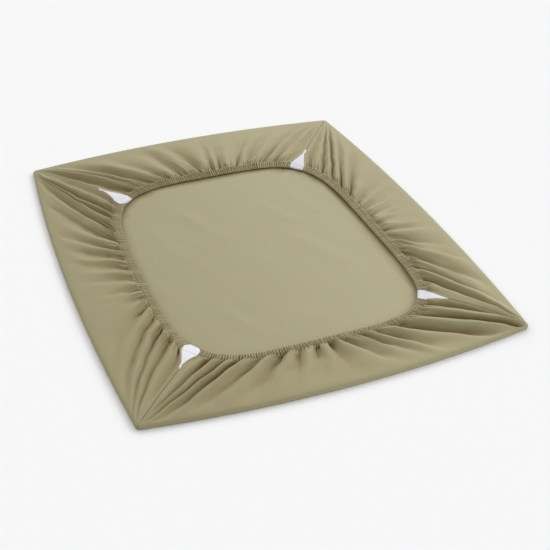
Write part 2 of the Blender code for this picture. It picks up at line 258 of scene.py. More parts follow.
BACK_LINES = (
    # hem, edge, near, half, reach
    (0.398, 0.796, 13, 14, 0.80),
    (0.372, 0.788, 30, 22, 1.00),
    (0.342, 0.770, 12, 14, 0.85),
    (0.315, 0.742, 30, 22, 1.00),
    (0.285, 0.700, 11, 11, 0.95),
    (0.250, 0.620, 30, 22, 0.95),
    (0.208, 0.500, 12, 13, 0.85),
    (0.186, 0.440, 29, 21, 0.90),
    (0.164, 0.380, 12, 14, 0.70),
    (0.122, 0.250, 30, 21, 0.80),
    (0.076, 0.160, 11, 13, 0.70),
    (0.058, 0.125, 29, 20, 0.75),
    (0.038, 0.090, 13, 13, 0.70),
    (0.008, 0.030, 32, 24, 0.95),
    (-0.020, -0.110, 10, 9, 0.95),
    (-0.046, -0.210, 35, 27, 1.00),
    (-0.118, -0.250, 10, 9, 0.95),
    (-0.160, -0.350, 32, 22, 0.85),
    (-0.190, -0.470, 10, 14, 0.60),
    (-0.224, -0.600, 35, 27, 1.00),
    (-0.270, -0.700, 7, 7, 1.05),
    (-0.312, -0.752, 32, 24, 1.00),
    (-0.328, -0.765, 15, 15, 0.50),
    (-0.345, -0.780, 34, 29, 1.05),
    (-0.374, -0.791, 5, 5, 1.10),
)
LEFT_LINES = (
    # hem, edge, near, half, reach
    (0.500, 0.996, 12, 13, 0.80),
    (0.468, 0.991, 33, 26, 1.05),
    (0.435, 0.984, 7, 7, 1.05),
    (0.400, 0.974, 36, 30, 1.05),
    (0.374, 0.965, 11, 16, 0.45),
    (0.342, 0.952, 34, 28, 1.00),
    (0.282, 0.915, 8, 9, 1.00),
    (0.235, 0.840, 35, 26, 1.00),
    (0.176, 0.650, 10, 12, 0.85),
    (0.146, 0.520, 31, 22, 0.85),
    (0.112, 0.420, 12, 13, 0.75),
    (0.080, 0.330, 31, 24, 0.95),
    (0.046, 0.250, 12, 13, 0.75),
    (0.008, 0.160, 30, 21, 0.90),
    (-0.030, 0.130, 11, 11, 0.85),
    (-0.075, 0.010, 31, 21, 0.80),
    (-0.113, -0.060, 12, 13, 0.65),
    (-0.160, -0.150, 29, 19, 0.60),
    (-0.192, -0.210, 13, 14, 0.50),
    (-0.230, -0.280, 29, 19, 0.60),
    (-0.255, -0.340, 15, 15, 0.35),
    (-0.285, -0.480, 29, 20, 0.80),
    (-0.322, -0.620, 11, 12, 0.85),
    (-0.352, -0.740, 32, 23, 0.95),
    (-0.398, -0.850, 8, 6, 1.05),
    (-0.440, -0.915, 32, 24, 1.05),
    (-0.478, -0.945, 8, 7, 1.10),
    (-0.518, -0.965, 33, 24, 1.10),
    (-0.552, -0.982, 9, 8, 1.15),
    (-0.583, -0.990, 31, 22, 1.10),
    (-0.606, -0.994, 12, 11, 0.90),
)


class SideForm(NamedTuple):
    """A side: the ways that it runs and faces, its half length, its distance from the middle, its bow, its
    columns of points at the base panel, how far its lines bend outwards, its lines, the share of their
    heights that is used, and the pitch and size of its ruffles."""

    run: tuple
    face: tuple
    half_length: float
    distance: float
    bow: float
    columns: int
    push: float
    lines: tuple
    fold_share: float
    ruffle_pitch: float
    ruffle_size: float


class CornerForm(NamedTuple):
    """A corner: the sides before and after it, where the hem's cloth stops on each (x or y), the two ends
    of the gusset's head and its tip in plan, how fast the gusset tapers, and the corner seam's heights in
    millimetres near the hem and half way along."""

    before: str
    after: str
    before_stop: float
    after_stop: float
    before_head: tuple
    after_head: tuple
    tip: tuple
    taper: float
    seam_heights: tuple


class Spread(NamedTuple):
    """Small ridges and troughs spread along a side: their pitch, how far each strays from its place and the
    range of their widths, as shares of the pitch, their height, the range of shares of it and the signs
    that it takes, and two more ranges, from which a value is drawn for each."""

    pitch: float
    stray: float
    widths: tuple
    height: float
    sizes: tuple
    signs: tuple
    ranges: tuple


# What the two ends, and the two long sides, have in common.
END = {"half_length": PANEL_WIDTH / 2, "distance": PANEL_LENGTH / 2, "bow": END_BOW, "columns": 80}
LONG_SIDE = {"half_length": PANEL_LENGTH / 2, "distance": PANEL_WIDTH / 2, "bow": SIDE_BOW, "columns": 107}
SIDES = {
    "front": SideForm(
        **END,
        run=(1, 0),
        face=(0, -1),
        push=0.004,
        lines=FRONT_LINES,
        fold_share=1.22,
        ruffle_pitch=0.0106,
        ruffle_size=1.05,
    ),
    "right": SideForm(
        **LONG_SIDE,
        run=(0, 1),
        face=(1, 0),
        push=0.006,
        lines=RIGHT_LINES,
        fold_share=1.10,
        ruffle_pitch=0.0145,
        ruffle_size=0.90,
    ),
    "back": SideForm(
        **END,
        run=(-1, 0),
        face=(0, 1),
        push=0.026,
        lines=BACK_LINES,
        fold_share=1.00,
        ruffle_pitch=0.0110,
        ruffle_size=1.0,
    ),
    "left": SideForm(
        **LONG_SIDE,
        run=(0, -1),
        face=(-1, 0),
        push=0.026,
        lines=LEFT_LINES,
        fold_share=1.05,
        ruffle_pitch=0.0138,
        ruffle_size=0.65,
    ),
}

CORNERS = {
    "front_right": CornerForm(
        before="front",
        after="right",
        before_stop=0.475,
        after_stop=-0.627,
        before_head=(0.475, -0.675),
        after_head=(0.506, -0.628),
        tip=(0.575, -0.740),
        taper=1.0,
        seam_heights=(24, 26),
    ),
    "back_right": CornerForm(
        before="right",
        after="back",
        before_stop=0.523,
        after_stop=0.419,
        before_head=(0.464, 0.523),
        after_head=(0.419, 0.576),
        tip=(0.553, 0.688),
        taper=1.6,
        seam_heights=(24, 20),
    ),
    "back_left": CornerForm(
        before="back",
        after="left",
        before_stop=-0.411,
        after_stop=0.523,
        before_head=(-0.411, 0.552),
        after_head=(-0.475, 0.523),
        tip=(-0.540, 0.676),
        taper=1.6,
        seam_heights=(25, 21),
    ),
    "front_left": CornerForm(
        before="left",
        after="front",
        before_stop=-0.624,
        after_stop=-0.464,
        before_head=(-0.508, -0.624),
        after_head=(-0.464, -0.680),
        tip=(-0.571, -0.760),
        taper=1.6,
        seam_heights=(23, 19),
    ),
}

# The ruffles of the hem: how narrow their valleys are, how much they pair up, how far they lean across the
# hem and run into the side cloth, how unevenly they lie, pair and vary, as (size, wavelength, seed), where
# the first takes its seed from the side, how strong they are under, out from and on top of the hem, with
# what its stitches take away, and how near a side's end they and the short creases fade.
RUFFLE_SHARPNESS = 1.8
RUFFLE_PAIRING = 0.25
RUFFLE_TURN = 0.04
RUFFLE_REACH = 0.050
RUFFLE_SHIFT = (1.8, 0.045)
RUFFLE_PAIR_SHIFT = (1.5, 0.06, SEED + 2)
RUFFLE_VARIATION = (0.40, 0.03, SEED + 1)
RUFFLE_UNDER = 0.5
RUFFLE_OUT = 0.4
RUFFLE_TOP = 1.15
RUFFLE_HELD = 0.45
GATHER_END = 0.012

# The short creases that run out from the hem, whose ranges are their reach and their drift along it, and
# the soft swells among the main folds, whose ranges are where each begins and ends.
CREASES = Spread(
    pitch=0.0145,
    stray=0.35,
    widths=(0.16, 0.34),
    height=0.0088,
    sizes=(0.4, 1.25),
    signs=(1, -1, -1),
    ranges=((0.07, 0.30), (-0.6, 0.6)),
)
SWELLS = Spread(
    pitch=0.042,
    stray=0.4,
    widths=(0.18, 0.36),
    height=0.0032,
    sizes=(0.4, 1.2),
    signs=(1, -1),
    ranges=((0.0, 0.30), (0.45, 0.95)),
)
CREASE_POINT = 1.4
CREASE_START = 0.03
SWELL_RISE = 0.12
SWELL_FALL = 0.2

# Soft creases of the base panel: where each starts and ends, its width and its height. Each sways a little,
# has a shallow trough beside it and fades at its ends.
PANEL_CREASES = (
    # x, y, x, y, width, height
    (-0.24, 0.40, -0.06, 0.00, 0.030, 0.0022),
    (0.06, 0.56, 0.16, 0.38, 0.026, 0.0016),
    (-0.30, -0.40, -0.17, -0.66, 0.028, 0.0020),
    (-0.03, -0.52, 0.11, -0.70, 0.026, 0.0018),
    (-0.05, -0.02, 0.10, -0.30, 0.034, 0.0016),
    (0.20, 0.02, 0.36, -0.34, 0.036, 0.0014),
    (0.14, 0.34, 0.29, 0.05, 0.034, 0.0014),
    (-0.40, 0.33, -0.30, -0.08, 0.032, 0.0014),
    (-0.45, -0.18, -0.48, -0.42, 0.024, 0.0018),
    (0.32, 0.40, 0.42, 0.10, 0.030, 0.0012),
    (-0.12, 0.58, -0.02, 0.40, 0.024, 0.0012),
)
PANEL_CREASE_SWAY = 0.012
PANEL_CREASE_TURNS = 3.0
PANEL_CREASE_TROUGH = 0.5
PANEL_CREASE_END = 0.25

# How the cloth's colour is laid out: the base panel's places on the cloth, where the outer face ends, the
# width, depth and sharpness of the hollows that take the painted shade colour, how much of it they take on
# the whole and in the hem, where the hem's underside starts, which takes it all, and how far the painted
# shadow reaches from under the hem over the base panel, with the diagonal span over which it comes in.
PANEL_PLACE = 3.0
OUTER_FACE_END = 1.0
PAINTED_SHADE_SCALES = ((0.094, 0.0375, 1.9), (0.014, 0.0185, 1.6))
PAINTED_SHADE_SHARE = 0.84
HEM_PAINTED_SHADE = 0.50
UNDERSIDE_START = -1.5 * HEM_ROLL
HEM_SHADE = 0.034
HEM_SHADE_SIDE = (-0.48, 0.32)
MOUTH_MIDDLE_SHARE = 0.1

# The stitches: the share of its length that each fills, its width, and the rows along the hem.
STITCH_SHARE = 0.62
STITCH_WIDTH = 0.0006
HEM_STITCHES = (HEM_WIDTH * HEM_MIDDLE, HEM_WIDTH * 0.985)
GUSSET_STITCHES = (HEM_WIDTH * 0.985, HEM_WIDTH * 0.9)

# The cotton: its sheen, its threads, crumples and paler patches, the span from left to right over which
# painted light makes it lighter, what each of them adds to its brightness, roughness and relief, and how
# its stitches and seams look, with painted crease shade in the seams' dark line.
COTTON_SHEEN = {"Sheen Weight": 0.10, "Sheen Roughness": 0.4, "Specular IOR Level": 0.15}
THREAD_SIZE = 0.0012
THREAD_SQUEEZE = 0.06
CRUMPLE_SIZE = 0.045
PATCH_SIZE = 0.30
PAINTED_LIGHT_SPAN = (-0.55, 0.35)
COTTON_LEVEL = 0.84
PAINTED_LIGHT_LEVEL = 0.13
PATCH_LEVEL = 0.04
THREAD_LEVEL = 0.09
OUTER_PAINTED_LIGHT = 0.50
COTTON_ROUGHNESS = 0.66
THREAD_ROUGHNESS = 0.16
WEAVE_RELIEF = 0.00002
THREAD_RELIEF = 0.00012
CRUMPLE_RELIEF = 0.0016
STITCH_RELIEF = 0.0002
STITCH_TONE = 0.72
STITCH_STRENGTH = 0.30
SEAM_AND_SHADE_TONE = 0.45
SEAM_AND_SHADE_STRENGTH = 0.6

# The stretch knit: its sheen, its ribs, loops and soft dents, their tones and relief, and its stitches.
KNIT_SHEEN = {"Sheen Weight": 0.18, "Sheen Roughness": 0.5, "Specular IOR Level": 0.25}
RIB_PITCH = 0.0016
LOOP_SIZE = 0.0011
LOOP_SQUEEZE = 0.35
DENT_SIZE = 0.02
RIB_RELIEF = 0.00006
LOOP_RELIEF = 0.00015
DENT_RELIEF = 0.0006
LOOP_TONES = (0.93, 1.05)
DENT_TONES = (0.96, 1.03)
KNIT_ROUGHNESS = 0.78
LOOP_ROUGHNESS = 0.15
KNIT_STITCH_TONE = 0.70
KNIT_STITCH_STRENGTH = 0.7

# The stage: the floor and its grain, the ring of soft lights with its bright side, and the camera.
FLOOR_WIDTH = 400.0
GRAIN_SIZE = 0.05
GRAIN_RELIEF = 0.00005
GRAIN_TONE = 0.995
FLOOR_ROUGHNESS = 0.90
GRAIN_ROUGHNESS = 0.05
RING_COUNT = 12
BRIGHT_SIDE = np.radians(42.0)
RING_COLOUR = (0.985, 0.99, 1.0)
FILL_COLOUR = (1.0, 0.998, 0.995, 1.0)
CAMERA_PLACE = (-1.287, -3.5546, 2.4124)
CAMERA_TURN = (55.556, 0.0, -21.4636)
CAMERA_LENS = 65.19
CAMERA_SENSOR = 36.0

# What every colour setting has.
COLOUR = {"subtype": "COLOR", "size": 4, "min": 0.0, "max": 1.0}


class SheetSettings(bpy.types.PropertyGroup):
    """The sizes and colours of the sheet."""

    cloth_colour: FloatVectorProperty(
        name="Cloth colour",
        description="Colour of the cotton's inner face, which the base panel shows",
        default=(0.394, 0.364, 0.224, 1.0),
        **COLOUR,
    )
    # The outer face's colour is partly the cloth's other face and partly painted shade on the side cloth.
    outer_face_and_shade_colour: FloatVectorProperty(
        name="Outer face colour",
        description="Colour of the cotton's outer face, which the side cloth shows",
        default=(0.359, 0.318, 0.177, 1.0),
        **COLOUR,
    )
    # Painted shade: the colour that the cloth takes in its hollows, under the hem and beside it.
    painted_shade_colour: FloatVectorProperty(
        name="Hollow colour",
        description="Colour of the cloth deep in its folds and gathers",
        default=(0.174, 0.110, 0.024, 1.0),
        **COLOUR,
    )
    # Painted light: the inner face is darker towards the left and lighter towards the right.
    painted_shade_left_colour: FloatVectorProperty(
        name="Left colour",
        description="Colour of the inner face towards the left, where it has faded less",
        default=(0.378, 0.347, 0.198, 1.0),
        **COLOUR,
    )
    gusset_colour: FloatVectorProperty(
        name="Gusset colour",
        description="Colour of the stretch gussets",
        default=(0.76, 0.76, 0.80, 1.0),
        **COLOUR,
    )
    ruffle_height: FloatProperty(
        name="Ruffle height",
        description="Half height of the hem's ruffles",
        unit="LENGTH",
        min=0.0,
        max=0.006,
        default=0.0030,
    )
    fold_depth: FloatProperty(
        name="Fold depth",
        description="Share of the tables' fold heights that is used",
        subtype="FACTOR",
        min=0.2,
        max=1.5,
        default=1.0,
    )
    thread_pitch: FloatProperty(
        name="Thread pitch",
        description="Distance from one thread of the weave to the next",
        unit="LENGTH",
        min=0.0002,
        max=0.003,
        default=0.0006,
    )
    stitch_length: FloatProperty(
        name="Stitch length",
        description="Length of a stitch with the space after it",
        unit="LENGTH",
        min=0.001,
        max=0.008,
        default=0.0032,
    )


class StageSettings(bpy.types.PropertyGroup):
    """The floor and the lights."""

    floor_colour: FloatVectorProperty(
        name="Floor colour",
        description="Colour of the plain floor",
        default=(0.90, 0.90, 0.90, 1.0),
        **COLOUR,
    )
    ring_strength: FloatProperty(
        name="Ring light",
        description="Mean strength of each soft light of the ring round the sheet",
        min=0.0,
        max=3.0,
        default=0.351,
    )
    ring_height: FloatProperty(
        name="Ring height",
        description="Angle of the ring of lights above the horizon",
        subtype="ANGLE",
        min=0.1,
        max=1.57,
        default=0.50,
    )
    ring_softness: FloatProperty(
        name="Ring softness",
        description="Angle that each light of the ring fills in the sky",
        subtype="ANGLE",
        min=0.0,
        max=1.57,
        default=0.50,
    )
    ring_lean: FloatProperty(
        name="Ring lean",
        description="How much brighter the ring is on its bright side than on the whole",
        subtype="FACTOR",
        min=0.0,
        max=1.0,
        default=0.90,
    )
    fill_strength: FloatProperty(
        name="Fill light",
        description="Strength of the even light from all round",
        min=0.0,
        max=5.0,
        default=0.40,
    )


class Shade:
    """A socket of a material's nodes. Sums, products and the like of these add Math nodes."""

    def __init__(self, finish, socket):
        self.finish = finish
        self.socket = socket

    def other(self, name):
        """Another output of the same node."""
        return Shade(self.finish, self.socket.node.outputs[name])

    def math(self, operation, *values):
        """A Math node's output for these values."""
        return self.finish.node("ShaderNodeMath", {"operation": operation}, dict(enumerate(values)))

    def __add__(self, value):
        return self.math("ADD", self, value)

    __radd__ = __add__

    def __sub__(self, value):
        return self.math("SUBTRACT", self, value)

    def __rsub__(self, value):
        return self.math("SUBTRACT", value, self)

    def __mul__(self, value):
        return self.math("MULTIPLY", self, value)

    __rmul__ = __mul__

    def sine(self):
        """The sine of the value."""
        return self.math("SINE", self)

    def near(self, value, reach):
        """1 where the value is within reach of another, and 0 elsewhere."""
        return self.math("COMPARE", self, value, reach)

    def below(self, value):
        """1 where the value is below another, and 0 elsewhere."""
        return self.math("LESS_THAN", self, value)

    def fraction(self):
        """What is left of the value after its whole number."""
        return self.math("FRACT", self)


class Finish:
    """A material: its shader, and the one way to add a node to it."""

    def __init__(self, name, uniform):
        self.data = bpy.data.materials.new(name)
        self.data.use_nodes = True
        self.tree = self.data.node_tree
        self.shader = self.tree.nodes["Principled BSDF"]
        for socket, value in uniform.items():
            self.shader.inputs[socket].default_value = value

    def node(self, kind, settings, inputs, output=0):
        """A new node's output, after its settings and then the values or links of its sockets."""
        made = self.tree.nodes.new(kind)
        for name, value in settings.items():
            setattr(made, name, value)
        for name, value in inputs.items():
            self.feed(made.inputs[name], value)
        return Shade(self, made.outputs[output])

    def feed(self, socket, value):
        """Links a socket to a shade, or gives it a plain value."""
        if isinstance(value, Shade):
            self.tree.links.new(value.socket, socket)
        else:
            socket.default_value = value

    def places(self, layer):
        """A UV map's two coordinates, in metres."""
        vector = self.node("ShaderNodeUVMap", {"uv_map": layer}, {})
        return vector, *self.parts(vector)

    def parts(self, vector):
        """A vector's first two coordinates."""
        first = self.node("ShaderNodeSeparateXYZ", {}, {0: vector})
        return first, first.other(1)

    def noise(self, vector, size, detail=2.0, roughness=0.5):
        """Noise from 0 to 1 whose lumps are about as large as size, in metres."""
        inputs = {"Vector": vector, "Scale": 1 / size, "Detail": detail, "Roughness": roughness}
        return self.node("ShaderNodeTexNoise", {}, inputs)

    def stretched(self, vector, scale):
        """A vector multiplied part by part."""
        return self.node("ShaderNodeVectorMath", {"operation": "MULTIPLY"}, {0: vector, 1: scale})

    def times(self, colour, amount):
        """A colour made darker or lighter by an amount that changes over the surface."""
        return self.node("ShaderNodeVectorMath", {"operation": "SCALE"}, {0: colour, "Scale": amount})

    def mix(self, share, low, high):
        """The colour between low and high."""
        return self.node("ShaderNodeMix", {"data_type": "RGBA"}, {0: share, 6: low, 7: high}, 2)

    def set_surface(self, colour, roughness, height):
        """Feeds the shader: its colour, its roughness, and its relief in metres."""
        bump = self.node("ShaderNodeBump", {}, {"Strength": 1.0, "Distance": 1.0, "Height": height})
        self.feed(self.shader.inputs["Base Color"], colour)
        self.feed(self.shader.inputs["Roughness"], roughness)
        self.feed(self.shader.inputs["Normal"], bump)


def scaled(colour, amount):
    """A colour made darker or lighter."""
    return (*(min(part * amount, 1.0) for part in colour[:3]), 1.0)


def dashes(place, settings):
    """1 on each stitch of a row and 0 between them, at places along the row."""
    return (place * (1 / settings.stitch_length)).fraction().below(STITCH_SHARE)


def stitch_rows(along, across, rows, settings):
    """1 on the stitches of two rows that run along the cloth, at these places across it."""
    first, second = (across.near(row, STITCH_WIDTH) for row in rows)
    return dashes(along, settings) * (first + second)


def cotton(settings):
    """Sage green plain-weave cotton, with its hem stitches and the stitches beside the corner seams."""
    finish = Finish("sage_cotton", COTTON_SHEEN)
    cloth, along, across = finish.places("cloth")
    # The folds map gives the distance from the corner seam and the share of painted shade.
    _, from_seam, painted_shade_mask = finish.places("folds")
    place = finish.node("ShaderNodeTexCoord", {}, {}, "Object")

    turns = 2 * np.pi / settings.thread_pitch
    weave = (along * turns).sine() * (across * turns).sine()
    warp = finish.noise(finish.stretched(cloth, (1.0, THREAD_SQUEEZE, 1.0)), THREAD_SIZE, 3.0)
    weft = finish.noise(finish.stretched(cloth, (THREAD_SQUEEZE, 1.0, 1.0)), THREAD_SIZE, 3.0)
    threads = (warp + weft) * 0.5
    crumple = finish.noise(place, CRUMPLE_SIZE, 4.0, 0.55)
    patches = finish.noise(place, PATCH_SIZE)
    seam_stitches = dashes(across, settings) * from_seam.near(SEAM_STITCH, STITCH_WIDTH)
    stitches = stitch_rows(along, across, HEM_STITCHES, settings) + seam_stitches

    base = settings.cloth_colour
    # Painted light: the cloth gets lighter from left to right.
    east, _ = finish.parts(place)
    span = {"Value": east, "From Min": PAINTED_LIGHT_SPAN[0], "From Max": PAINTED_LIGHT_SPAN[1]}
    painted_light = finish.node("ShaderNodeMapRange", {}, span)
    level = COTTON_LEVEL + painted_light * PAINTED_LIGHT_LEVEL + patches * PATCH_LEVEL + threads * THREAD_LEVEL
    inner_face = finish.mix(painted_light, settings.painted_shade_left_colour, base)
    # The side cloth's colour: its outer face with painted shade, lighter to the right with painted light.
    outer_face_and_shade = finish.mix(painted_light * OUTER_PAINTED_LIGHT, settings.outer_face_and_shade_colour, base)
    is_outer = across.below(OUTER_FACE_END)
    woven = finish.times(finish.mix(is_outer, inner_face, outer_face_and_shade), level)
    # Painted shade in the hollows of the folds and gathers, under the hem and on the base panel beside it.
    shaded = finish.mix(painted_shade_mask * PAINTED_SHADE_SHARE, woven, settings.painted_shade_colour)
    sewn = finish.mix(stitches * STITCH_STRENGTH, shaded, scaled(base, STITCH_TONE))
    # The dark line along each corner seam: the seam with painted crease shade.
    seam = from_seam.below(SEAM_CREASE) * (1 - across.below(HEM_WIDTH))
    colour = finish.mix(seam * SEAM_AND_SHADE_STRENGTH, sewn, scaled(base, SEAM_AND_SHADE_TONE))

    woven_relief = weave * WEAVE_RELIEF + threads * THREAD_RELIEF
    height = woven_relief + crumple * CRUMPLE_RELIEF + stitches * STITCH_RELIEF
    finish.set_surface(colour, COTTON_ROUGHNESS + threads * THREAD_ROUGHNESS, height)
    return finish.data


def stretch_knit(settings):
    """White stretch knit in fine ribs, with the stitches of its hem."""
    finish = Finish("white_stretch", KNIT_SHEEN)
    cloth, along, across = finish.places("cloth")
    place = finish.node("ShaderNodeTexCoord", {}, {}, "Object")

    ribs = (along * (2 * np.pi / RIB_PITCH)).sine()
    loops = finish.noise(finish.stretched(cloth, (1.0, LOOP_SQUEEZE, 1.0)), LOOP_SIZE)
    dents = finish.noise(place, DENT_SIZE, 3.0)
    stitches = stitch_rows(along, across, GUSSET_STITCHES, settings)

    base = settings.gusset_colour
    looped = finish.mix(loops, *(scaled(base, tone) for tone in LOOP_TONES))
    dented = finish.mix(dents, *(scaled(base, tone) for tone in DENT_TONES))
    knit = finish.mix(0.5, looped, dented)
    colour = finish.mix(stitches * KNIT_STITCH_STRENGTH, knit, scaled(base, KNIT_STITCH_TONE))
    knit_relief = ribs * RIB_RELIEF + loops * LOOP_RELIEF
    height = knit_relief + dents * DENT_RELIEF + stitches * STITCH_RELIEF
    finish.set_surface(colour, KNIT_ROUGHNESS + loops * LOOP_ROUGHNESS, height)
    return finish.data


def plain_floor(settings):
    """The matt floor."""
    finish = Finish("pale_floor", {"Specular IOR Level": 0.1})
    place = finish.node("ShaderNodeTexCoord", {}, {}, "Object")
    grain = finish.noise(place, GRAIN_SIZE, 3.0)
    colour = finish.mix(grain, scaled(settings.floor_colour, GRAIN_TONE), settings.floor_colour)
    finish.set_surface(colour, FLOOR_ROUGHNESS + grain * GRAIN_ROUGHNESS, grain * GRAIN_RELIEF)
    return finish.data


def rise(value, start, end):
    """0 up to start and 1 from end on, with a smooth S-curve between them."""
    share = np.clip((value - start) / (end - start), 0, 1)
    return share * share * (3 - 2 * share)


def bell(offset):
    """1 in the middle of a line, and less with every step to either side of it."""
    return np.exp(-offset * offset)


def lengths_along(points):
    """The distance from the first point of a row to each of its points, along the row."""
    return np.concatenate([[0], np.cumsum(np.linalg.norm(np.diff(points, axis=0), axis=1))])


def from_ends(along):
    """The distance from each place to the nearer end of its row."""
    return np.minimum(along, along[-1] - along)


def ripple(points, wave):
    """Smooth unevenness over plan points, made of a few crossing waves."""
    size, wavelength, seed = wave
    rng = np.random.default_rng(seed)
    total = np.zeros(points.shape[:-1])
    for _ in range(CROSSING_WAVES):
        angle = rng.uniform(0, np.pi)
        turns = 2 * np.pi / (wavelength * rng.uniform(*WAVE_SPREAD))
        way = turns * np.array([np.cos(angle), np.sin(angle)])
        total += np.sin(points @ way + rng.uniform(0, 2 * np.pi))
    return size * (total / CROSSING_WAVES * WAVE_GAIN)


def ripples(points, waves):
    """The sum of several kinds of smooth unevenness over plan points."""
    return sum(ripple(points, wave) for wave in waves)


def wavering(places, wave):
    """Smooth unevenness along a line."""
    return ripple(np.stack([places, np.zeros_like(places)], 1), wave)


def spread(kind, length, seed):
    """Small ridges and troughs along a length: place, width, height and two more values of each."""
    rng = np.random.default_rng(seed)
    places = np.arange(kind.pitch / 2, length, kind.pitch)
    count = len(places)
    return list(
        zip(
            places + rng.uniform(-kind.stray, kind.stray, count) * kind.pitch,
            kind.pitch * rng.uniform(*kind.widths, count),
            kind.height * rng.uniform(*kind.sizes, count) * rng.choice(kind.signs, count),
            *(rng.uniform(*span, count) for span in kind.ranges),
        )
    )


def softened(heights):
    """Heights bent softly so that none is under the lowest or over the highest."""
    above = heights - LOWEST_HEIGHT
    sunk = SOFT_FLOOR * np.exp(above / SOFT_FLOOR - 1)
    raised = LOWEST_HEIGHT + np.where(above > SOFT_FLOOR, above, sunk)
    over = np.maximum(raised - SOFT_CEILING, 0)
    return np.minimum(raised, SOFT_CEILING) + CEILING_SPAN * (1 - np.exp(-over / CEILING_SPAN))


def hollows(heights, spacing):
    """How deep each point of a row lies below the highest cloth near it, from 0 to 1: its share of painted
    shade.
    """
    total = np.zeros(len(heights))
    for width, depth, power in PAINTED_SHADE_SCALES:
        reach = round(width / spacing / 2)
        padded = np.pad(heights, reach, "edge")
        near = np.lib.stride_tricks.sliding_window_view(padded, 2 * reach + 1)
        total += ((near.max(axis=1) - heights) / depth) ** power
    return np.clip(total, 0, 1)


def painted_hem_shadow(plan):
    """Painted shadow: 1 where the base panel is under the hem, fading to 0 inside the mouth and towards the
    front left.
    """
    offset = plan - np.array(MOUTH_CENTRE)
    quarter = np.where(offset >= 0, 1, -1)
    squareness = np.zeros(plan.shape[:-1])
    for signs, value in MOUTH_SQUARENESS.items():
        squareness[(quarter == signs).all(axis=-1)] = value
    parts = np.abs(offset) / np.array(MOUTH_HALVES)
    share = (parts[..., 0] ** squareness + parts[..., 1] ** squareness) ** (1 / squareness)
    inside = np.linalg.norm(offset, axis=-1) * (1 / np.maximum(share, MOUTH_MIDDLE_SHARE) - 1)
    return rise(offset.sum(axis=-1), *HEM_SHADE_SIDE) * (1 - rise(inside, 0, HEM_SHADE))


def outline(form, place):
    """The fold line's plan points and outward directions at places along a side."""
    run, face = np.array(form.run), np.array(form.face)
    flat_length = form.half_length - CORNER_RADIUS
    along = np.minimum(np.abs(place), flat_length)
    end_angle = np.arctan(2 * form.bow / flat_length)
    turned = np.clip((np.abs(place) - flat_length) / CORNER_RADIUS, 0, 1)
    angle = np.arctan(2 * form.bow * along / flat_length**2) + turned * (np.pi / 4 - end_angle)
    way = np.where(place >= 0, 1.0, -1.0)
    out = form.distance - CORNER_RADIUS + form.bow * (1 - (along / flat_length) ** 2)
    core = out[:, None] * face + (along * way)[:, None] * run
    outward = np.cos(angle)[:, None] * face + (np.sin(angle) * way)[:, None] * run
    return core + CORNER_RADIUS * outward, outward


def mouth(form, place):
    """The hem's free edge at places along a side: plan points and outward normals."""
    run, face = np.array(form.run), np.array(form.face)
    halves, centre = np.array(MOUTH_HALVES), np.array(MOUTH_CENTRE)
    along_half, out_half = abs(halves @ run), abs(halves @ face)
    along = place - centre @ run
    way = np.where(along >= 0, 1, -1)
    ahead = MOUTH_SQUARENESS[tuple((face + run).tolist())]
    behind = MOUTH_SQUARENESS[tuple((face - run).tolist())]
    squareness = np.where(way > 0, ahead, behind)
    share = np.clip(np.abs(along) / along_half, 0, MOUTH_SIDE_END)
    out = out_half * (1 - share**squareness) ** (1 / squareness)
    along_slope = share ** (squareness - 1) / along_half
    out_slope = (out / out_half) ** (squareness - 1) / out_half
    normal = (along_slope * way)[:, None] * run + out_slope[:, None] * face
    normal /= np.linalg.norm(normal, axis=1)[:, None]
    return centre + along[:, None] * run + out[:, None] * face, normal


class GussetSide:
    """One side of a gusset, and the corner seam beyond it, as plan points."""

    def __init__(self, corner, head):
        self.tip = np.array(corner.tip)
        self.taper = corner.taper
        self.middle = np.mean([corner.before_head, corner.after_head], axis=0)
        self.half_head = head - self.middle
        self.way = (self.tip - self.middle) / np.linalg.norm(self.tip - self.middle)

    def hem(self, share):
        """A point beside the hem, from its free edge at 0 to its seam at 1."""
        return self.middle + self.half_head + self.way * HEM_WIDTH * share

    def seam(self, share, end):
        """A point beside the side cloth, down the gusset to its tip and then along the corner seam."""
        if share > TIP_SHARE:
            return self.tip + (end - self.tip) * (share - TIP_SHARE) / (1 - TIP_SHARE)
        part = share / TIP_SHARE
        start = self.middle + self.way * HEM_WIDTH
        return start + (self.tip - start) * part + self.half_head * (1 - part) ** self.taper


